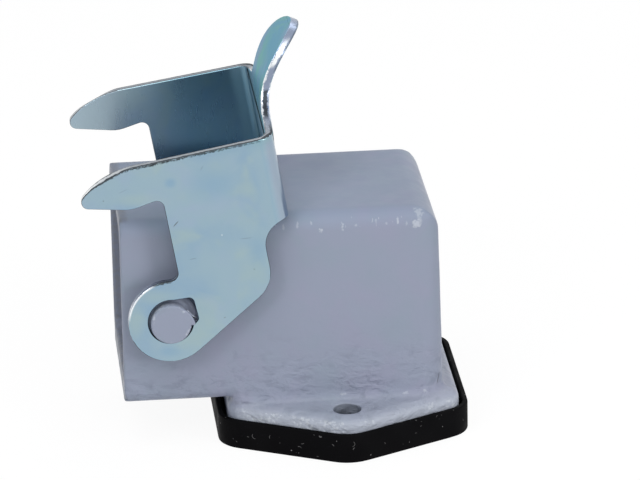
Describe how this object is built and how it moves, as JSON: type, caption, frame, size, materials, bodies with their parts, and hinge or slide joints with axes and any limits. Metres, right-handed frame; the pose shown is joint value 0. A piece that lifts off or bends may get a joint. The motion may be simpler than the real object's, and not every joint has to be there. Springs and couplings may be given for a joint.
{
  "type": "angled panel-mount connector housing with locking lever",
  "caption": "Angled die-cast panel housing for a small industrial connector insert, with a bent sheet-steel locking lever on pivot pegs and a rubber flange gasket.",
  "frame": {"origin": "midway between the two fixing holes, on the gasket's underside, which is the panel surface", "axes": "+Z away from the panel, -X out of the mating opening, Y along the line of the fixing holes"},
  "size_m": [0.046, 0.0382, 0.0498],
  "materials": {
    "grey_coated_casting": "grey powder coat with orange peel",
    "zinc_plated_sheet": "blue passivated zinc",
    "black_rubber": "matt, a little dusty"
  },
  "bodies": {
    "housing": {"housing_body": "grey_coated_casting", "flange_gasket": "black_rubber"},
    "lever": {"locking_lever": "zinc_plated_sheet"}
  },
  "joints": [
    {"name": "lever_hinge", "type": "hinge", "parent": "housing", "child": "lever", "pos_m": [-0.02075, 0, 0.0176], "axis": [0, -1, 0], "range_deg": [0, 80]}
  ]
}
